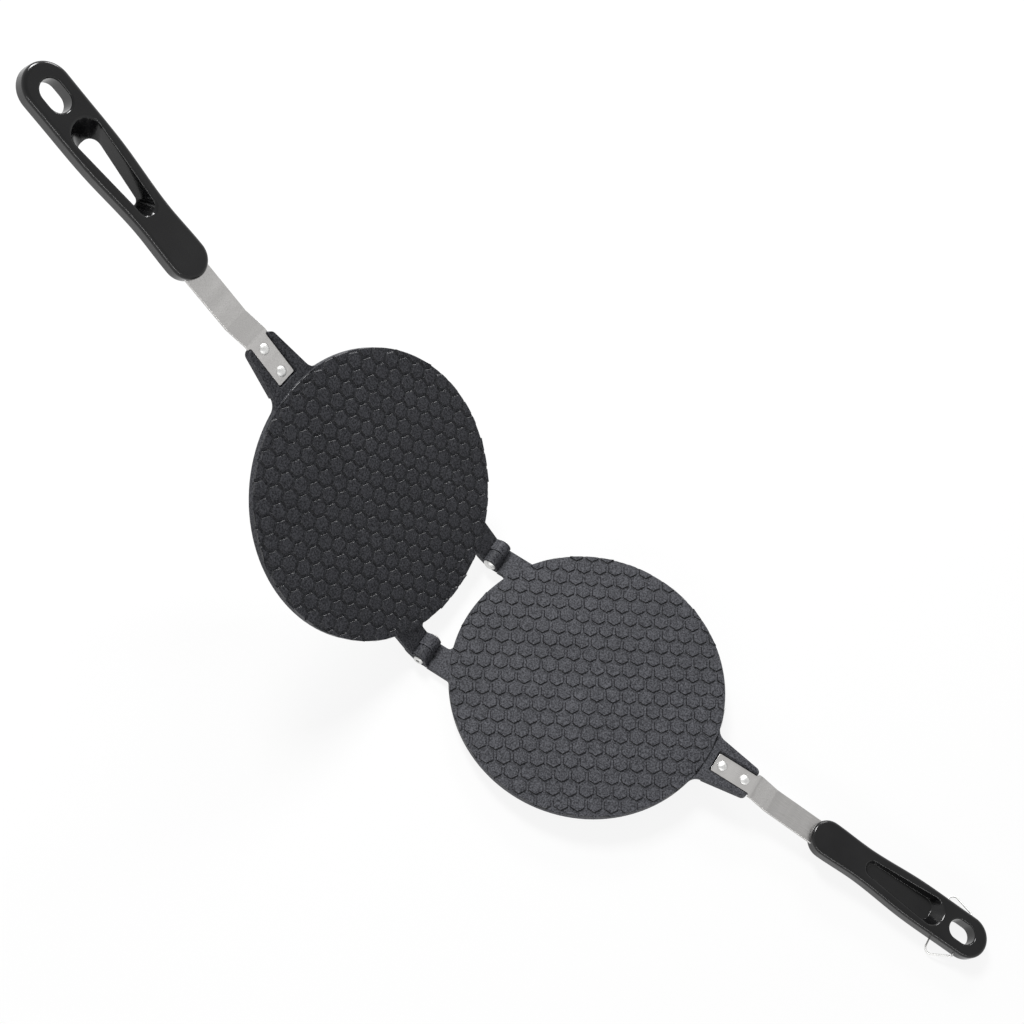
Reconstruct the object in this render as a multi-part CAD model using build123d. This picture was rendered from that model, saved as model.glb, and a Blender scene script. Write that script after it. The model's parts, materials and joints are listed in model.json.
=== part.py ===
from build123d import *
from math import acos, asin, atan2, cos, degrees, hypot, radians, sin, sqrt
import os

# Egg roll pan: two round cast plates with a raised hexagon field, hinged edge to edge on two
# pins, each with a riveted steel strap and a moulded handle. Millimetres and degrees.
# Each half is drawn in its own frame: origin on the hinge axis midway between the hinges,
# +X towards its own handle and +Z out of its own cooking face.

# Cooking plates
plate_radius = 90.0
plate_thickness = 6.0
closed_gap = 2.0
land_drop = 1.4
edge_chamfer = 0.8

# Raised hexagon field
cell_pitch = 10.5
groove_width = 1.6
groove_depth = 1.0

# Hinges
hinge_to_rim = 7.8
ear_inner = 32.3
ear_width = 17.8
inner_knuckle = 9.2
ear_clearance = 1.0
ear_fillet = 2.5
knuckle_radius = 5.2
knuckle_gap = 0.4
open_angle = 131.5
stop_gap = 0.15
stop_inset = 0.3
stop_height = 2.5
stop_root_angle = 225.0

# Hinge pins
pin_radius = 2.25
pin_clearance = 0.05
pin_head_radius = 4.4
pin_head_height = 2.1
pin_roll_radius = 3.4
pin_roll_height = 1.2
pin_hollow_radius = 1.3
pin_hollow_depth = 4.0
pin_end_play = 0.15

# Strap boss, measured outwards from the plate's rim
rim_to_channel = 4.7
channel_to_rivet = 6.3
rivet_spacing = 16.5
rivet_to_tip = 5.8
boss_wall = 2.6
boss_flare = 5.8
boss_fillet = 8.0
boss_corner = 3.5
boss_extra_depth = 0.8
channel_flare = 1.05
channel_clearance = 0.15
channel_corner = 1.0

# Straps
strap_width = 17.0
strap_thickness = 1.8
strap_sink = 1.5
tongue_width = 13.5
tongue_end_gap = 0.8
tongue_corner = 1.0
shoulder_gap = 0.5
shoulder_fillet = 1.2
tip_to_bend = 2.9
bend_length = 12.8
bend_drop = 5.6
bend_radius = 4.0

# Rivets
rivet_shank_radius = 2.0
rivet_clearance = 0.05
rivet_head_radius = 3.4
rivet_head_height = 1.6
rivet_tail_radius = 3.2
rivet_tail_height = 1.0

# Handles, measured along their own length from the front end
lower_droop = 6.8
upper_droop = 5.0
handle_skew = 0.6
bend_to_handle = 31.2
handle_length = 132.4
handle_thickness = 11.4
handle_edge_radius = 2.6
front_half = 11.9
waist_half = 11.1
waist_at = 38.0
swell_half = 13.3
swell_at = 72.0
tail_half = 13.6
tail_straight = 8.0
tang_length = 34.0

# Hanging holes and finger slots in the handles
hole_to_tail = 18.2
hole_length = 18.0
hole_width = 13.0
rim_chamfer = 0.8
slot_start = 40.3
slot_web = 5.5
slot_front_radius = 5.2
slot_tail_half = 9.1
slot_tail_radius = 8.2
slot_side_draft = 2.2
slot_front_slope = 6.5
slot_tail_slope = 9.0
recess_front_depth = 3.0
recess_tail_depth = 8.0

# Wire clip on the lower handle
wire_radius = 0.6
clip_to_tail = 15.7
clip_side_gap = 2.2
clip_reach = 17.0
clip_splay = 7.4
clip_corner = 3.7
clip_elbow = 1.4
clip_socket_depth = 4.5
clip_socket_end_gap = 0.3
clip_clearance = 0.08

# How close a corner or an edge lies to the place it is picked by
same_place = 0.01
near_place = 1.0

# Heights in a half's own frame
face_z = -closed_gap / 2
field_z = face_z - groove_depth
land_z = face_z - land_drop
under_z = face_z - plate_thickness
strap_top_z = land_z - strap_sink
strap_under_z = strap_top_z - strap_thickness
strap_mid_z = strap_top_z - strap_thickness / 2
boss_under_z = under_z - boss_extra_depth

# Places along X in a half's own frame
ear_end = knuckle_radius + ear_clearance
ear_outer = ear_inner + ear_width
ear_split = ear_inner + inner_knuckle
hinge_to_disc = hinge_to_rim + plate_radius
channel_start = hinge_to_disc + plate_radius + rim_to_channel
tongue_start = channel_start + tongue_end_gap
rivet_inner = channel_start + channel_to_rivet
rivet_outer = rivet_inner + rivet_spacing
boss_tip = rivet_outer + rivet_to_tip
tongue_end = boss_tip + shoulder_gap
bend_near = boss_tip + tip_to_bend
bend_far = bend_near + bend_length
channel_top_half = tongue_width / 2 + channel_flare
boss_tip_half = channel_top_half + boss_wall
boss_root_half = boss_tip_half + boss_flare

# Places along a handle
hole_at = handle_length - hole_to_tail
slot_end = hole_at - hole_length / 2 - slot_web
clip_pivot_at = handle_length - clip_to_tail


def across(profile, low_y, high_y):
    """An XZ profile, drawn with X across and Z up, filled from low_y to high_y."""
    plane = Plane(origin=(0, high_y, 0), x_dir=(1, 0, 0), z_dir=(0, -1, 0))
    return extrude(plane * profile, high_y - low_y)


def field_cells():
    """Centres of the hexagons that cover the disc, in columns half a cell out of step."""
    column_pitch = cell_pitch * cos(radians(30))
    reach = plate_radius + cell_pitch
    columns = int(reach / column_pitch) + 1
    rows = int(reach / cell_pitch) + 1
    centres = []
    for column in range(-columns, columns + 1):
        for row in range(-rows, rows + 1):
            x = column * column_pitch
            y = (row + (column % 2) / 2) * cell_pitch
            if hypot(x, y) < reach:
                centres.append((x, y))
    return centres


def hexagon_ring(x, y, across_flats, z):
    corner = across_flats / sqrt(3)
    return [
        Vector(x + corner * cos(radians(60 * turn)), y + corner * sin(radians(60 * turn)), z)
        for turn in range(6)
    ]


def hexagon_field():
    """Top of the disc: raised hexagons with sloping sides that meet in V grooves."""
    base_z = land_z - groove_depth
    faces = []
    skirts = {}
    for x, y in field_cells():
        top = hexagon_ring(x, y, cell_pitch - groove_width, face_z)
        rim = hexagon_ring(x, y, cell_pitch, field_z)
        base = hexagon_ring(x, y, cell_pitch, base_z)
        faces += [Face(Wire.make_polygon(top)), Face(Wire.make_polygon(base))]
        for turn in range(6):
            after = (turn + 1) % 6
            faces.append(Face(Wire.make_polygon([top[turn], rim[turn], rim[after], top[after]])))
            middle = (rim[turn] + rim[after]) / 2
            side = [rim[turn], rim[after], base[after], base[turn]]
            skirts.setdefault((round(middle.X, 1), round(middle.Y, 1)), []).append(side)
    faces += [Face(Wire.make_polygon(sides[0])) for sides in skirts.values() if len(sides) == 1]
    bottom = (Align.CENTER, Align.CENTER, Align.MIN)
    disc = Pos(0, 0, base_z) * Cylinder(plate_radius, 2 * plate_thickness, align=bottom)
    return Pos(hinge_to_disc, 0) * (disc & Solid(Shell(faces)))


def plate_outline():
    """Plan of the casting: disc, two ears and the tapered strap boss, with blended corners."""
    ear_root = hinge_to_disc - sqrt(plate_radius**2 - ear_outer**2) + ear_fillet
    boss_root = hinge_to_disc + sqrt(plate_radius**2 - boss_root_half**2)
    outline = Pos(hinge_to_disc, 0) * Circle(plate_radius)
    for side in (-1, 1):
        ear = Rectangle(ear_root - ear_end, ear_outer - ear_inner)
        outline += Pos((ear_end + ear_root) / 2, side * (ear_inner + ear_outer) / 2) * ear
    boss = Polygon(
        (hinge_to_disc, -boss_root_half),
        (boss_root, -boss_root_half),
        (boss_tip, -boss_tip_half),
        (boss_tip, boss_tip_half),
        (boss_root, boss_root_half),
        (hinge_to_disc, boss_root_half),
        align=None,
    )
    outline += boss
    tips = outline.vertices().filter_by(lambda v: abs(v.X - boss_tip) < same_place)
    outline = fillet(tips, boss_corner)
    roots = outline.vertices().filter_by(
        lambda v: v.X > hinge_to_disc and abs(abs(v.Y) - boss_root_half) < near_place
    )
    outline = fillet(roots, boss_fillet)
    crotches = outline.vertices().filter_by(
        lambda v: ear_end + near_place < v.X < hinge_to_disc
        and ear_inner - near_place < abs(v.Y) < ear_outer + near_place
    )
    return fillet(crotches, ear_fillet)


def knuckle_profile():
    """Side view of a knuckle: the barrel, the web to its ear and the tooth that stops the opening."""
    barrel = Circle(knuckle_radius)
    corner_angle = atan2(under_z, ear_end)
    touch_angle = corner_angle - acos(knuckle_radius / hypot(ear_end, under_z))
    web = Polygon(
        (0, land_z),
        (knuckle_radius * cos(touch_angle), knuckle_radius * sin(touch_angle)),
        (ear_end, under_z),
        (ear_end + ear_fillet, under_z),
        (ear_end + ear_fillet, land_z),
        align=None,
    )
    angle = radians(open_angle)
    reach = ear_end - stop_gap
    stop_top = stop_inset - land_z
    tooth_face = [
        (reach * cos(angle) - depth * sin(angle), reach * sin(angle) + depth * cos(angle))
        for depth in (stop_top, stop_top + stop_height)
    ]
    root = radians(stop_root_angle)
    tooth = Polygon(
        (0, 0),
        (knuckle_radius * cos(angle), knuckle_radius * sin(angle)),
        *tooth_face,
        (knuckle_radius * cos(root), knuckle_radius * sin(root)),
        align=None,
    )
    return barrel + web + tooth


def casting():
    """One cooking plate. Both plates are this casting, so the hinge knuckles sit to one side."""
    outline = plate_outline()
    body = Pos(0, 0, under_z) * extrude(outline, land_z - under_z)
    underside = body.faces().sort_by(Axis.Z)[0]
    body = chamfer(underside.outer_wire().edges(), edge_chamfer)
    boss_pad = outline & Pos((channel_start + boss_tip) / 2, 0) * Rectangle(
        boss_tip - channel_start + 2 * channel_corner, 4 * boss_root_half
    )
    body += Pos(0, 0, boss_under_z) * extrude(boss_pad, land_z - boss_under_z)
    half_gap = knuckle_gap / 2
    for low_y, high_y in (
        (ear_split + half_gap, ear_outer),
        (-ear_split + half_gap, -ear_inner),
    ):
        body += across(knuckle_profile(), low_y, high_y)
    body += hexagon_field()
    bore = Rot(90, 0, 0) * Cylinder(pin_radius + pin_clearance, 3 * ear_outer)
    body -= bore
    body -= strap_channel()
    for x in (rivet_inner, rivet_outer):
        body -= Pos(x, 0, boss_under_z) * Cylinder(
            rivet_shank_radius + rivet_clearance, 3 * plate_thickness
        )
    return body


def strap_channel():
    """Open-ended channel with drafted sides that the strap's tongue lies in."""
    floor_half = tongue_width / 2 + channel_clearance
    slope = (channel_top_half - floor_half) / (land_z - strap_under_z)
    over = strap_thickness
    top_half = channel_top_half + slope * over
    section = Polygon(
        (-floor_half, strap_under_z),
        (floor_half, strap_under_z),
        (top_half, land_z + over),
        (-top_half, land_z + over),
        align=None,
    )
    start = Plane(origin=(channel_start, 0, 0), x_dir=(0, 1, 0), z_dir=(1, 0, 0))
    channel = extrude(start * section, boss_tip - channel_start + strap_width)
    inner = channel.edges().filter_by(lambda e: abs(e.center().X - channel_start) < same_place)
    upright = inner.filter_by(lambda e: abs(e.bounding_box().size.Z) > over)
    return fillet(upright, channel_corner)


def strap_points(droop):
    """Corners of the strap's middle line: flat tongue, short drop, then the run to the handle."""
    run = bend_to_handle + tang_length
    slope, skew = radians(droop), radians(handle_skew)
    drop_z = strap_mid_z - bend_drop
    return [
        Vector(tongue_start, 0, strap_mid_z),
        Vector(bend_near, 0, strap_mid_z),
        Vector(bend_far, 0, drop_z),
        Vector(
            bend_far + run * cos(slope) * cos(skew),
            -run * cos(slope) * sin(skew),
            drop_z - run * sin(slope),
        ),
    ]


def handle_place(droop):
    """Frame at the handle's front end: X along the handle, Z out of its inner face."""
    points = strap_points(droop)
    along = (points[3] - points[2]).normalized()
    side = Vector(0, 0, 1).cross(along).normalized()
    return Plane(origin=points[2] + along * bend_to_handle, x_dir=along, z_dir=along.cross(side))


def strap(droop):
    points = strap_points(droop)
    path = FilletPolyline(*points, radius=bend_radius)
    section_plane = Plane(origin=points[0], x_dir=(0, 1, 0), z_dir=(1, 0, 0))
    bar = sweep(section_plane * Rectangle(strap_width, strap_thickness), path=path)
    trim = (strap_width - tongue_width) / 2
    for side in (-1, 1):
        waste = Rectangle(tongue_end - tongue_start + 2 * trim, 2 * trim)
        waste = Pos((tongue_start + tongue_end) / 2 - trim, side * (tongue_width / 2 + trim)) * waste
        shoulder = waste.vertices().filter_by(lambda v: v.X > tongue_start).sort_by(lambda v: abs(v.Y))[0]
        waste = fillet(shoulder, shoulder_fillet)
        bar -= Pos(0, 0, strap_under_z - strap_thickness) * extrude(waste, 3 * strap_thickness)
    ends = bar.edges().filter_by(Axis.Z).filter_by(lambda e: abs(e.center().X - tongue_start) < same_place)
    bar = fillet(ends, tongue_corner)
    for x in (rivet_inner, rivet_outer):
        bar -= Pos(x, 0, strap_mid_z) * Cylinder(
            rivet_shank_radius + rivet_clearance, 3 * strap_thickness
        )
    return bar


def dome(radius, height):
    """A low round head standing on z = 0."""
    cap_radius = (radius**2 + height**2) / (2 * height)
    with BuildSketch() as half:
        with BuildLine():
            Line((0, 0), (radius, 0))
            RadiusArc((radius, 0), (0, height), -cap_radius)
            Line((0, height), (0, 0))
        make_face()
    return revolve(Plane.XZ * half.sketch, Axis.Z)


def rivet(x):
    """Domed head on the strap, shank through the boss and a flat tail under it."""
    length = strap_top_z - boss_under_z
    bottom = (Align.CENTER, Align.CENTER, Align.MIN)
    shank = Cylinder(rivet_shank_radius, length, align=bottom)
    tail = Pos(0, 0, -rivet_tail_height) * Cylinder(rivet_tail_radius, rivet_tail_height, align=bottom)
    head = Pos(0, 0, length) * dome(rivet_head_radius, rivet_head_height)
    return Pos(x, 0, boss_under_z) * (shank + tail + head)


def hinge_pin(side):
    """Pin with a domed head on the hinge's inner end and a rolled hollow end outside."""
    length = ear_width + 2 * pin_end_play
    shaft = Polygon(
        (0, 0),
        (pin_radius, 0),
        (pin_radius, -length),
        (pin_roll_radius, -length),
        (pin_roll_radius - pin_roll_height / 2, -length - pin_roll_height),
        (pin_hollow_radius, -length - pin_roll_height),
        (pin_hollow_radius, pin_hollow_depth - length),
        (0, pin_hollow_depth - length),
        align=None,
    )
    pin = revolve(Plane.XZ * shaft, Axis.Z) + dome(pin_head_radius, pin_head_height)
    inner_end = Pos(0, side * (ear_inner - pin_end_play), 0)
    return inner_end * Rot(side * 90, 0, 0) * pin


def handle_outline():
    """Plan of the handle: round ends, a slim waist behind the front and a broad tail."""
    tail_centre = handle_length - tail_half
    straight_from = tail_centre - tail_straight
    with BuildSketch() as plan:
        with BuildLine():
            RadiusArc((0, 0), (front_half, front_half), front_half)
            Spline(
                (front_half, front_half),
                (waist_at, waist_half),
                (swell_at, swell_half),
                (straight_from, tail_half),
                tangents=[(1, 0), (1, 0)],
            )
            Line((straight_from, tail_half), (tail_centre, tail_half))
            RadiusArc((tail_centre, tail_half), (handle_length, 0), tail_half)
            mirror(about=Plane.XZ)
        make_face()
    return plan.sketch


def teardrop(inset, front_inset, tail_inset):
    """Plan of the finger slot: narrow round front, straight flared sides, broad blunt tail."""
    front = slot_start + slot_front_radius + front_inset
    tail = slot_end - slot_tail_radius - tail_inset
    tail_side = slot_tail_half - slot_tail_radius
    tail_circle = Circle(slot_tail_radius - inset)
    return make_hull(
        [
            *(Pos(front, 0) * Circle(slot_front_radius - inset)).edges(),
            *(Pos(tail, tail_side) * tail_circle).edges(),
            *(Pos(tail, -tail_side) * tail_circle).edges(),
        ]
    )


def finger_slot(is_open):
    """The slot's hollow: open right through, or a blind scoop that deepens towards the tail."""
    half = handle_thickness / 2
    mouth = Pos(0, 0, half) * teardrop(0, 0, 0)
    outlet = Pos(0, 0, -half) * teardrop(slot_side_draft, slot_front_slope, slot_tail_slope)
    hollow = loft([mouth, outlet], ruled=True)
    if is_open:
        return hollow
    fall = atan2(recess_tail_depth - recess_front_depth, slot_end - slot_start)
    upwards = (Align.CENTER, Align.CENTER, Align.MIN)
    above = Box(2 * handle_length, 2 * tail_half, 2 * handle_thickness, align=upwards)
    return hollow & (Pos(slot_start, 0, half - recess_front_depth) * Rot(0, degrees(fall), 0) * above)


def handle(slot_is_open):
    """Moulded handle in its own frame, with the finger slot open right through or left blind."""
    half = handle_thickness / 2
    body = Pos(0, 0, -half) * extrude(handle_outline(), handle_thickness)
    rims = body.faces().sort_by(Axis.Z)
    body = fillet(rims[0].edges() + rims[-1].edges(), handle_edge_radius)
    body -= finger_slot(slot_is_open)
    body -= Pos(hole_at, 0, -half) * extrude(SlotOverall(hole_length, hole_width), handle_thickness)
    mouths = body.faces().sort_by(Axis.Z)[-1].inner_wires()
    return chamfer([edge for wire in mouths for edge in wire.edges()], rim_chamfer)


def clip_sockets():
    """Blind holes in the handle's two sides that the clip's inturned ends swing in."""
    length = clip_socket_depth + clip_socket_end_gap
    hole = Rot(90, 0, 0) * Cylinder(wire_radius + clip_clearance, length)
    middle_y = tail_half - length / 2
    return [Pos(clip_pivot_at, side * middle_y, 0) * hole for side in (-1, 1)]


def clip_rest_angle():
    """Swing below the handle's length at which the cross wire touches the handle's underside."""
    return asin((handle_thickness / 2 + wire_radius + clip_clearance) / clip_reach)


def clip():
    """Wire bail: two ends in the handle's sides, splayed legs and a cross wire under the handle."""
    end_y = tail_half - clip_socket_depth
    leg_y = tail_half + clip_side_gap
    far_y = leg_y + clip_splay
    corners = [(0, end_y), (0, leg_y), (-clip_reach, far_y)]
    points = [Vector(x, -y, 0) for x, y in corners] + [Vector(x, y, 0) for x, y in reversed(corners)]
    radii = [clip_elbow, clip_corner, clip_corner, clip_elbow]
    path = FilletPolyline(*points, radius=radii)
    section = Plane(origin=points[0], z_dir=(0, -1, 0)) * Circle(wire_radius)
    wire = sweep(section, path=path)
    return Pos(clip_pivot_at, 0, 0) * Rot(0, -degrees(clip_rest_angle()), 0) * wire


def half_parts(name, droop, slot_is_open, has_clip):
    """All the pieces of one half, in the half's own frame."""
    bar = strap(droop)
    grip = handle(slot_is_open)
    if has_clip:
        grip -= clip_sockets()
    place = handle_place(droop).location
    parts = {
        f"{name}_plate": casting(),
        f"{name}_strap": bar,
        f"{name}_rivet_inner": rivet(rivet_inner),
        f"{name}_rivet_outer": rivet(rivet_outer),
        f"{name}_handle": place * grip - bar,
    }
    if has_clip:
        parts["wire_clip"] = place * clip()
    return parts


def rest_tilt():
    """Angle at which the lower half lies on a table, on its ears and on the clip's cross wire."""
    swing = clip_rest_angle()
    cross = Vector(clip_pivot_at - clip_reach * cos(swing), 0, -clip_reach * sin(swing))
    wire = handle_place(lower_droop).from_local_coords(cross)
    ear_x = ear_end + edge_chamfer
    run, fall = wire.X - ear_x, under_z - wire.Z
    return degrees(atan2(fall, run) + asin(wire_radius / hypot(run, fall)))


def egg_roll_pan():
    """All pieces at rest: lower half on the table, upper half open against its stops."""
    tilt = Rot(0, -rest_tilt(), 0)
    opened = Rot(0, -open_angle, 0) * Rot(180, 0, 0)
    pan = {}
    for node, part in half_parts("lower", lower_droop, False, True).items():
        pan[node] = tilt * part
    for node, part in half_parts("upper", upper_droop, True, False).items():
        pan[node] = tilt * opened * part
    pan["hinge_pin_left"] = tilt * hinge_pin(1)
    pan["hinge_pin_right"] = tilt * hinge_pin(-1)
    return pan


pan = egg_roll_pan()
bounds = Compound(list(pan.values())).bounding_box()
stand = Pos(-bounds.center().X, -bounds.center().Y, -bounds.min.Z)
os.makedirs("parts", exist_ok=True)
for node, part in pan.items():
    export_step(stand * part, f"parts/{node}.step")
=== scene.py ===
import bmesh
import bpy
import json
from math import radians
from mathutils import Matrix, Vector


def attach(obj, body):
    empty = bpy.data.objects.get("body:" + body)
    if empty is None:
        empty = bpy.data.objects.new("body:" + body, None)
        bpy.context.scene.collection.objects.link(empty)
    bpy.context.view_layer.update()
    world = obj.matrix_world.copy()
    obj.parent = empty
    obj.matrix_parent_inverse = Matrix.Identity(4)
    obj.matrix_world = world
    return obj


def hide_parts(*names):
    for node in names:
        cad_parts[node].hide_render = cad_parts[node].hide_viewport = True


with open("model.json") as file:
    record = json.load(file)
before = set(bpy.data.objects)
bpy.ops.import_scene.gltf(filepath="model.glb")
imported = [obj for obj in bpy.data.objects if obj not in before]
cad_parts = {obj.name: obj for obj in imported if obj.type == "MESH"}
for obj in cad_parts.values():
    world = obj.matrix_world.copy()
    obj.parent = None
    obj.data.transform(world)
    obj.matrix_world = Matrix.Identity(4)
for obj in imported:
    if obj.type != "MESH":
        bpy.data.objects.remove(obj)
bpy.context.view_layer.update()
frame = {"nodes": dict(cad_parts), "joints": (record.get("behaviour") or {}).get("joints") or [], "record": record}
record = frame["record"]
nodes = frame["nodes"]
bodies = record["behaviour"]["bodies"]
bodyOfNode = {node: body for body, members in bodies.items() for node in members}
mounts = {mount["name"]: mount for mount in record["mounts"]}

# Where the halves stand: the hinge, and each plate's own upward direction
hinge = Vector(frame["joints"][0]["pos_m"])
acrossHinge = Vector((0, 1, 0))
lowerUp = -Vector(mounts["lower_base"]["axis"]).normalized()
upperUp = -Vector(mounts["upper_base"]["axis"]).normalized()
print("frame loaded")


# The hexagon field, as heights over the hinge axis along a plate's own normal
field = {
    "top": -0.0010,
    "ground": -0.0019,
    "valley": -0.0020,
    "near": 0.00002,
    "flank": 0.0003,
    "start": 0.0075,  # distance from the hinge axis, past the knuckles
    "smallest": 0.000008,  # square metres; slivers of hexagons at the rim are left out
    "flankEdge": 0.00008,  # how soon the painted shade sets in at a flank
}


# Materials: small helpers that lay out nodes
noiseSpan = (0.3, 0.7)  # the range that most of a noise lies in

def freshMaterial(name):
    material = bpy.data.materials.new(name)
    material.use_nodes = True
    return material, material.node_tree, material.node_tree.nodes["Principled BSDF"]


def addNode(tree, kind, **settings):
    node = tree.nodes.new(kind)
    for key, value in settings.items():
        setattr(node, key, value)
    return node


# A socket takes either another node's output or a plain value
def feed(tree, socket, value):
    if isinstance(value, bpy.types.NodeSocket):
        tree.links.new(value, socket)
    else:
        socket.default_value = value


def objectCoordinates(tree, turn=(0, 0, 0), stretch=(1, 1, 1)):
    source = addNode(tree, "ShaderNodeTexCoord")
    mapping = addNode(tree, "ShaderNodeMapping")
    mapping.inputs["Rotation"].default_value = [radians(angle) for angle in turn]
    mapping.inputs["Scale"].default_value = stretch
    tree.links.new(source.outputs["Object"], mapping.inputs["Vector"])
    return mapping.outputs["Vector"]


def remap(tree, value, low, high, newLow, newHigh):
    node = addNode(tree, "ShaderNodeMapRange", clamp=True)
    ends = {"From Min": low, "From Max": high, "To Min": newLow, "To Max": newHigh}
    for name, end in {"Value": value, **ends}.items():
        feed(tree, node.inputs[name], end)
    return node.outputs["Result"]


# From a finish's low colour to its high one
def colours(tree, value, stops, finish):
    ramp = addNode(tree, "ShaderNodeValToRGB")
    for spot, at, colour in zip(ramp.color_ramp.elements, stops, (finish["low"], finish["high"])):
        spot.position = at
        spot.color = (*colour, 1)
    tree.links.new(value, ramp.inputs["Fac"])
    return ramp.outputs["Color"]


def arithmetic(tree, operation, first, second):
    node = addNode(tree, "ShaderNodeMath", operation=operation)
    for socket, value in zip(node.inputs, (first, second)):
        feed(tree, socket, value)
    return node.outputs["Value"]


def vectorMath(tree, operation, first, second):
    node = addNode(tree, "ShaderNodeVectorMath", operation=operation)
    for socket, value in zip(node.inputs, (first, second)):
        feed(tree, socket, value)
    return node.outputs["Value" if operation in ("DOT_PRODUCT", "DISTANCE") else "Vector"]


def tint(tree, colour, factor):
    node = addNode(tree, "ShaderNodeVectorMath", operation="SCALE")
    tree.links.new(colour, node.inputs[0])
    tree.links.new(factor, node.inputs["Scale"])
    return node.outputs["Vector"]


# Each bump is a height, a strength and a distance in metres
def relief(tree, body, heights):
    normal = None
    for height, strength, distance in heights:
        bump = addNode(tree, "ShaderNodeBump")
        bump.inputs["Strength"].default_value = strength
        bump.inputs["Distance"].default_value = distance
        tree.links.new(height, bump.inputs["Height"])
        if normal:
            tree.links.new(normal, bump.inputs["Normal"])
        normal = bump.outputs["Normal"]
    tree.links.new(normal, body.inputs["Normal"])


# Node groups: effects that several of the finishes share
socketKinds = {"float": "NodeSocketFloat", "vector": "NodeSocketVector"}


def makeGroup(name, takes, gives):
    group = bpy.data.node_groups.new(name, "ShaderNodeTree")
    for side, sockets in (("INPUT", takes), ("OUTPUT", gives)):
        for label, kind in sockets.items():
            group.interface.new_socket(name=label, in_out=side, socket_type=socketKinds[kind])
    ends = addNode(group, "NodeGroupInput").outputs, addNode(group, "NodeGroupOutput").inputs
    return group, *ends


def placeGroup(tree, group, values):
    node = addNode(tree, "ShaderNodeGroup", node_tree=group)
    for label, value in values.items():
        feed(tree, node.inputs[label], value)
    return node.outputs[0]


def makeGrainGroup():
    takes = {"Place": "vector", "Scale": "float", "Detail": "float", "Harshness": "float"}
    group, given, result = makeGroup("surfaceGrain", takes, {"Grain": "float"})
    noise = addNode(group, "ShaderNodeTexNoise")
    group.links.new(given["Place"], noise.inputs["Vector"])
    group.links.new(given["Scale"], noise.inputs["Scale"])
    group.links.new(given["Detail"], noise.inputs["Detail"])
    group.links.new(given["Harshness"], noise.inputs["Roughness"])
    group.links.new(noise.outputs["Fac"], result["Grain"])
    return group


# 1 on the hexagons and on the ground, less on the flanks between them: painted shade in the creases between the
# hexagons, kept off near the hinge
def makeFlankGroup():
    takes = {"Place": "vector", "Up": "vector", "Along": "vector", "FlankShade": "float"}
    group, given, result = makeGroup("paintedFlankShade", takes, {"Shade": "float"})
    top, ground, start = field["top"], field["ground"], field["start"]
    edge = field["flankEdge"]
    flankShade = given["FlankShade"]
    fromHinge = vectorMath(group, "SUBTRACT", given["Place"], hinge)
    height = vectorMath(group, "DOT_PRODUCT", fromHinge, given["Up"])
    run = vectorMath(group, "DOT_PRODUCT", fromHinge, given["Along"])
    run = arithmetic(group, "ABSOLUTE", run, 0)
    overFlank = remap(group, height, top - edge, top - edge / 2, flankShade, 1.0)
    underFlank = remap(group, height, ground + edge / 2, ground + edge, 1.0, flankShade)
    atHinge = remap(group, run, start - edge, start, 1.0, flankShade)
    offFlank = arithmetic(group, "MAXIMUM", overFlank, underFlank)
    group.links.new(arithmetic(group, "MAXIMUM", offFlank, atHinge), result["Shade"])
    return group


grainGroup = makeGrainGroup()
flankGroup = makeFlankGroup()


def grain(tree, place, scale, detail=2.0, harshness=0.5):
    values = {"Place": place, "Scale": scale, "Detail": detail, "Harshness": harshness}
    return placeGroup(tree, grainGroup, values)


# Non-stick coating on the cast plates
coating = {
    "low": (0.016, 0.0165, 0.0195),
    "high": (0.115, 0.117, 0.13),
    "stops": (0.36, 0.68),
    "specular": 0.1,
    "rough": (0.5, 0.56),
    "speckle": 1000.0,
    "speckleDepth": 0.00006,
    "peel": 420.0,
    "peelRelief": (0.25, 0.00003),
    "cloud": 28.0,
    "cloudShade": (0.92, 1.06),
    "flankGloss": 1.0,
    "flankRough": 0.26,
}
# Each plate's painted shade (the upper plate darker, as if less light fell on it), the painted shade left on its
# flanks, and the strength of its speckle
plateCoats = {
    "lower": {"up": lowerUp, "shadeFactor": 1.03, "flankShade": 0.16, "bumpy": 0.45},
    "upper": {"up": upperUp, "shadeFactor": 0.82, "flankShade": 0.55, "bumpy": 0.15},
}


def coatingMaterial(name, coat):
    material, tree, body = freshMaterial(name)
    place = objectCoordinates(tree)
    speckle = grain(tree, place, coating["speckle"], 3.0, 0.65)
    peel = grain(tree, place, coating["peel"])
    cloud = grain(tree, place, coating["cloud"], 3.0)
    base = colours(tree, speckle, coating["stops"], coating)
    flanks = {"Place": place, "Up": coat["up"], "Along": coat["up"].cross(acrossHinge)}
    # Painted shade: the base colour darkened on the flanks between the hexagons
    shade = placeGroup(tree, flankGroup, {**flanks, "FlankShade": coat["flankShade"]})
    # Painted shade: the upper plate's coating darker than the lower's, times random cloudy mottle
    shadedMottle = [shadeFactor * coat["shadeFactor"] for shadeFactor in coating["cloudShade"]]
    cloudShade = remap(tree, cloud, *noiseSpan, *shadedMottle)
    paintedShadeAndMottle = arithmetic(tree, "MULTIPLY", shade, cloudShade)
    tree.links.new(tint(tree, base, paintedShadeAndMottle), body.inputs["Base Color"])
    tree.links.new(remap(tree, peel, *noiseSpan, *coating["rough"]), body.inputs["Roughness"])
    body.inputs["Specular IOR Level"].default_value = coating["specular"]
    gloss = remap(tree, shade, coat["flankShade"], 1.0, coating["flankGloss"], 0.0)
    tree.links.new(gloss, body.inputs["Coat Weight"])
    body.inputs["Coat Roughness"].default_value = coating["flankRough"]
    speckleRelief = (speckle, coat["bumpy"], coating["speckleDepth"])
    relief(tree, body, [(peel, *coating["peelRelief"]), speckleRelief])
    return material


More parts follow.
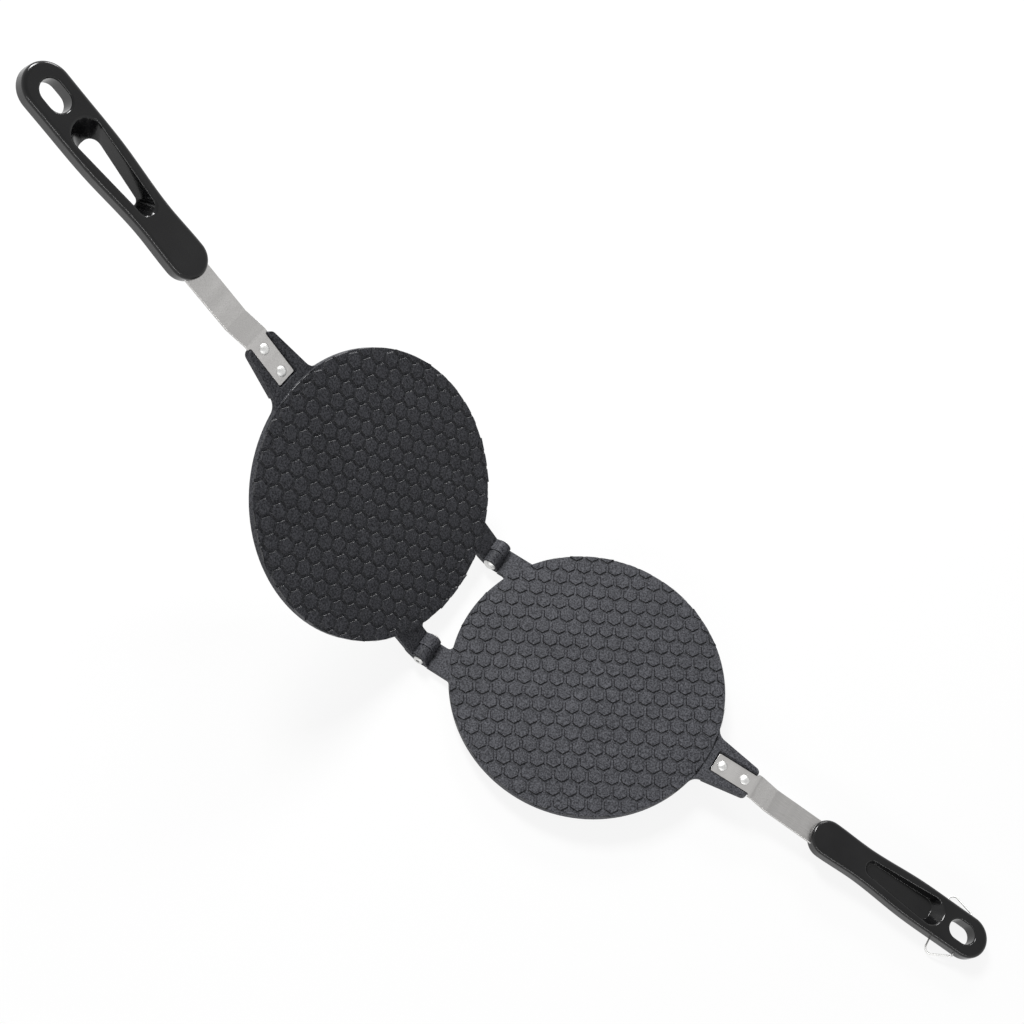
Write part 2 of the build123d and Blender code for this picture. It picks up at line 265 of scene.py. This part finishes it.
# Brushed stainless strap, with the grain running along it
strapSteel = {
    "low": (0.42, 0.412, 0.402),
    "high": (0.62, 0.61, 0.6),
    "rough": (0.42, 0.26),
    "streaks": 2600.0,
    "streakStretch": (0.03, 1, 1),
    "streakRelief": (0.12, 0.00003),
    "stains": 6.0,
    "stainStretch": (25, 1, 1),
    "stainShade": (0.92, 1.04),
    "lowerLean": -4.0,  # degrees that the grain is turned to follow the strap
    "upperLean": -39.0,
}


def strapMaterial(name, lean):
    material, tree, body = freshMaterial(name)
    turn = (0, lean, 0)
    lengthwise = objectCoordinates(tree, turn, strapSteel["streakStretch"])
    streaks = grain(tree, lengthwise, strapSteel["streaks"], 3.0, 0.7)
    patches = objectCoordinates(tree, turn, strapSteel["stainStretch"])
    stains = grain(tree, patches, strapSteel["stains"], 3.0)
    base = colours(tree, streaks, noiseSpan, strapSteel)
    stained = tint(tree, base, remap(tree, stains, *noiseSpan, *strapSteel["stainShade"]))
    tree.links.new(stained, body.inputs["Base Color"])
    rough = remap(tree, streaks, *noiseSpan, *strapSteel["rough"])
    tree.links.new(rough, body.inputs["Roughness"])
    body.inputs["Metallic"].default_value = 1.0
    relief(tree, body, [(streaks, *strapSteel["streakRelief"])])
    return material


# Bright drawn steel for rivets, pins and the wire clip
brightSteel = {
    "low": (0.6, 0.6, 0.59),
    "high": (0.78, 0.78, 0.77),
    "rough": (0.4, 0.55),
    "scratches": 1900.0,
    "scratchRelief": (0.1, 0.00002),
}


def brightMaterial(name):
    material, tree, body = freshMaterial(name)
    scratches = grain(tree, objectCoordinates(tree), brightSteel["scratches"], 3.0, 0.6)
    base = colours(tree, scratches, noiseSpan, brightSteel)
    tree.links.new(base, body.inputs["Base Color"])
    rough = remap(tree, scratches, *noiseSpan, *brightSteel["rough"])
    tree.links.new(rough, body.inputs["Roughness"])
    body.inputs["Metallic"].default_value = 1.0
    relief(tree, body, [(scratches, *brightSteel["scratchRelief"])])
    return material


# Black thermoset handles
moulding = {
    "low": (0.006, 0.006, 0.0065),
    "high": (0.0105, 0.0105, 0.011),
    "stops": (0.35, 0.7),
    "specular": 0.34,
    "rough": (0.13, 0.2),
    "fine": 1300.0,
    "fineRelief": (0.06, 0.00003),
    "flow": 45.0,
    "flowRelief": (0.05, 0.0004),
    "markRelief": (1.0, 0.0003),
    "markToHole": 0.0853,  # ejector mark, from the hanging hole towards the plate
    "markRadius": 0.0013,
    "markCore": 0.4,  # the mark's flat middle, as a share of its radius
    "faceHeight": 0.0057,
    "skew": 0.6,
}


def mouldingMaterial(name, markAt=None):
    material, tree, body = freshMaterial(name)
    place = objectCoordinates(tree)
    fine = grain(tree, place, moulding["fine"])
    flow = grain(tree, place, moulding["flow"], 3.0)
    base = colours(tree, flow, moulding["stops"], moulding)
    heights = [(flow, *moulding["flowRelief"]), (fine, *moulding["fineRelief"])]
    if markAt is not None:
        radius = moulding["markRadius"]
        reach = vectorMath(tree, "DISTANCE", place, markAt)
        mark = remap(tree, reach, moulding["markCore"] * radius, radius, 0.0, 1.0)
        heights.append((mark, *moulding["markRelief"]))
    tree.links.new(base, body.inputs["Base Color"])
    tree.links.new(remap(tree, fine, *noiseSpan, *moulding["rough"]), body.inputs["Roughness"])
    body.inputs["Specular IOR Level"].default_value = moulding["specular"]
    relief(tree, body, heights)
    return material


# Centre of the small round mark on the upper handle's inner face
def ejectorMark():
    hole = mounts["upper_hook_hole"]
    out = Vector(hole["axis"]).normalized()
    along = out.cross(acrossHinge).normalized()
    along = Matrix.Rotation(-radians(moulding["skew"]), 3, out) @ along
    return Vector(hole["pos_m"]) + along * moulding["markToHole"] + out * moulding["faceHeight"]


brightPaint = brightMaterial("brightSteel")
paints = {
    "lower_plate": coatingMaterial("lowerCoating", plateCoats["lower"]),
    "upper_plate": coatingMaterial("upperCoating", plateCoats["upper"]),
    "lower_strap": strapMaterial("lowerStrapSteel", strapSteel["lowerLean"]),
    "upper_strap": strapMaterial("upperStrapSteel", strapSteel["upperLean"]),
    "lower_handle": mouldingMaterial("lowerMoulding"),
    "upper_handle": mouldingMaterial("upperMoulding", ejectorMark()),
}
print("materials ready")


# Pieces: softened copies of the CAD nodes, with small rounded edges
edgeRounding = {
    "lower_plate": 0.0002, "upper_plate": 0.0002,
    "lower_strap": 0.0003, "upper_strap": 0.0003,
    "lower_handle": 0.0004, "upper_handle": 0.0004,
    "wire_clip": 0.0001,
    "hinge_pin_left": 0.00015, "hinge_pin_right": 0.00015,
    "lower_rivet_inner": 0.00012, "lower_rivet_outer": 0.00012,
    "upper_rivet_inner": 0.00012, "upper_rivet_outer": 0.00012,
}
softening = {
    "mergeWithin": 0.000002,
    "flatWithin": radians(0.6),  # faces this near to level are joined into one
    "sharpOver": radians(32),
    "steps": 2,
}


# Opens the grooves between the hexagons into flat ground with steep flanks
def levelGround(bm, up):
    along = up.cross(acrossHinge)

    def height(vertex):
        return (vertex.co - hinge).dot(up)

    def isTop(vertex):
        return abs(height(vertex) - field["top"]) < field["near"]

    def inField(vertex):
        fits = field["valley"] - field["near"] < height(vertex) < field["top"] + field["near"]
        return fits and abs((vertex.co - hinge).dot(along)) > field["start"]

    around = [vertex for vertex in bm.verts if inField(vertex)]
    tops = [face for face in bm.faces if face.calc_area() > field["smallest"]
            and all(isTop(vertex) and inField(vertex) for vertex in face.verts)]
    bmesh.ops.inset_individual(
        bm, faces=tops, thickness=field["flank"], depth=0, use_even_offset=True)
    for vertex in around:
        vertex.co += up * (field["ground"] - height(vertex))


def softened(node, rounding):
    bm = bmesh.new()
    bm.from_mesh(nodes[node].data)
    bmesh.ops.remove_doubles(bm, verts=bm.verts, dist=softening["mergeWithin"])
    bmesh.ops.dissolve_limit(
        bm, angle_limit=softening["flatWithin"], verts=bm.verts, edges=bm.edges)
    if node.endswith("plate"):
        levelGround(bm, lowerUp if node == "lower_plate" else upperUp)
    for face in bm.faces:
        face.smooth = True
    mesh = bpy.data.meshes.new(node + "_soft")
    bm.to_mesh(mesh)
    bm.free()
    mesh.set_sharp_from_angle(angle=softening["sharpOver"])
    mesh.materials.clear()
    mesh.materials.append(paints.get(node, brightPaint))
    piece = bpy.data.objects.new(node + "_soft", mesh)
    bpy.context.scene.collection.objects.link(piece)
    bevel = piece.modifiers.new("rounding", "BEVEL")
    bevel.limit_method = "ANGLE"
    bevel.angle_limit = softening["sharpOver"]
    bevel.width = rounding
    bevel.segments = softening["steps"]
    bevel.profile = 0.5
    bevel.use_clamp_overlap = False
    piece.modifiers.new("flatFaces", "WEIGHTED_NORMAL").weight = 100
    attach(piece, bodyOfNode[node])
    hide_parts(node)


for node, rounding in edgeRounding.items():
    softened(node, rounding)
print("pieces ready")


# Studio: pale floor, a large softbox from the upper plate's back, a strip for the edge highlights
floor = {
    "size": 9.0,
    "colour": (0.9, 0.9, 0.9, 1),
    "rough": 0.9,
    "specular": 0.1,
    "white": 0.88,
    "fade": (0.7, 1.8),  # metres from the middle over which the floor turns all white
}
lamps = {
    "keySoftbox": {
        "at": (-1.15, 0.85, 1.5), "aim": (0.05, 0, 0.0), "size": (0.6, 0.6), "power": 42.0},
    "backLight": {
        "at": (-0.58, 1.87, 0.92), "aim": (-0.1, 0, 0.08), "size": (0.9, 0.35), "power": 17.0},
    "edgeStrip": {
        "at": (0.5, -1.7, 0.75), "aim": (0.0, 0, 0.1), "size": (2.6, 0.1), "power": 13.0},
}
world = {"fill": 0.27, "ceiling": 0.6, "dimming": (0.3, 0.9)}


def makeLamp(name, lamp):
    data = bpy.data.lights.new(name, "AREA")
    data.shape = "RECTANGLE"
    data.size, data.size_y = lamp["size"]
    data.energy = lamp["power"]
    light = bpy.data.objects.new(name, data)
    bpy.context.scene.collection.objects.link(light)
    light.location = lamp["at"]
    aim = Vector(lamp["aim"]) - Vector(lamp["at"])
    light.rotation_euler = aim.to_track_quat("-Z", "Y").to_euler()


# 1 for rays that show the background: the camera's, and those in metal and glass
def seenByEye(tree):
    rays = addNode(tree, "ShaderNodeLightPath").outputs
    eyeOrGloss = arithmetic(tree, "MAXIMUM", rays["Is Camera Ray"], rays["Is Glossy Ray"])
    return arithmetic(tree, "MAXIMUM", eyeOrGloss, rays["Is Transmission Ray"])


def makeWorld():
    scene = bpy.context.scene
    scene.view_settings.view_transform = "Standard"
    scene.world = bpy.data.worlds.new("studio")
    scene.world.use_nodes = True
    tree = scene.world.node_tree
    tree.nodes.clear()
    output = addNode(tree, "ShaderNodeOutputWorld")
    fill = addNode(tree, "ShaderNodeBackground")
    fill.inputs["Strength"].default_value = world["fill"]
    white = addNode(tree, "ShaderNodeBackground")
    white.inputs["Color"].default_value = (1, 1, 1, 1)
    # White all round, dimmer overhead, as a white cove under a grey ceiling
    direction = addNode(tree, "ShaderNodeTexCoord")
    parts = addNode(tree, "ShaderNodeSeparateXYZ")
    tree.links.new(direction.outputs["Generated"], parts.inputs["Vector"])
    overhead = remap(tree, parts.outputs["Z"], *world["dimming"], 1.0, world["ceiling"])
    tree.links.new(overhead, white.inputs["Strength"])
    mix = addNode(tree, "ShaderNodeMixShader")
    tree.links.new(seenByEye(tree), mix.inputs["Fac"])
    tree.links.new(fill.outputs[0], mix.inputs[1])
    tree.links.new(white.outputs[0], mix.inputs[2])
    tree.links.new(mix.outputs[0], output.inputs["Surface"])


def floorMaterial():
    material, tree, body = freshMaterial("paleFloor")
    body.inputs["Base Color"].default_value = floor["colour"]
    body.inputs["Roughness"].default_value = floor["rough"]
    body.inputs["Specular IOR Level"].default_value = floor["specular"]
    glow = addNode(tree, "ShaderNodeEmission")
    glow.inputs["Color"].default_value = (1, 1, 1, 1)
    glow.inputs["Strength"].default_value = 1.0
    away = addNode(tree, "ShaderNodeVectorMath", operation="LENGTH")
    tree.links.new(objectCoordinates(tree), away.inputs[0])
    whiteness = remap(tree, away.outputs["Value"], *floor["fade"], floor["white"], 1.0)
    mix = addNode(tree, "ShaderNodeMixShader")
    tree.links.new(arithmetic(tree, "MULTIPLY", seenByEye(tree), whiteness), mix.inputs["Fac"])
    tree.links.new(body.outputs[0], mix.inputs[1])
    tree.links.new(glow.outputs[0], mix.inputs[2])
    tree.links.new(mix.outputs[0], tree.nodes["Material Output"].inputs["Surface"])
    return material


def makeFloor():
    bm = bmesh.new()
    bmesh.ops.create_grid(bm, x_segments=1, y_segments=1, size=floor["size"] / 2)
    mesh = bpy.data.meshes.new("floor")
    bm.to_mesh(mesh)
    bm.free()
    mesh.materials.append(floorMaterial())
    ground = bpy.data.objects.new("floor", mesh)
    bpy.context.scene.collection.objects.link(ground)


makeWorld()
makeFloor()
for name, lamp in lamps.items():
    makeLamp(name, lamp)
print("studio ready")


# Camera, matched to the photograph from the two hexagon fields, in the lower plate's own axes
camera = {
    "place": (0.1731, -0.3528, 0.8402),
    "right": (0.84824, 0.50660, 0.15440),
    "up": (-0.51617, 0.72555, 0.45513),
    "back": (0.11855, -0.46576, 0.87694),
    "lens": 49.68,
    "sensor": 36.0,
    "shift": (-0.0981, 0.0314),
    "near": 0.01,
    "far": 20,
}


def makeCamera():
    along = acrossHinge.cross(lowerUp).normalized()
    plate = Matrix((along, acrossHinge, lowerUp)).transposed().to_4x4()
    turn = Matrix((camera["right"], camera["up"], camera["back"])).transposed().to_4x4()
    data = bpy.data.cameras.new("camera")
    data.lens = camera["lens"]
    data.sensor_width = camera["sensor"]
    data.shift_x, data.shift_y = camera["shift"]
    data.clip_start, data.clip_end = camera["near"], camera["far"]
    eye = bpy.data.objects.new("camera", data)
    bpy.context.scene.collection.objects.link(eye)
    place = Matrix.Translation(camera["place"])
    eye.matrix_world = Matrix.Translation(hinge) @ plate @ place @ turn
    bpy.context.scene.camera = eye


makeCamera()
print("camera ready")
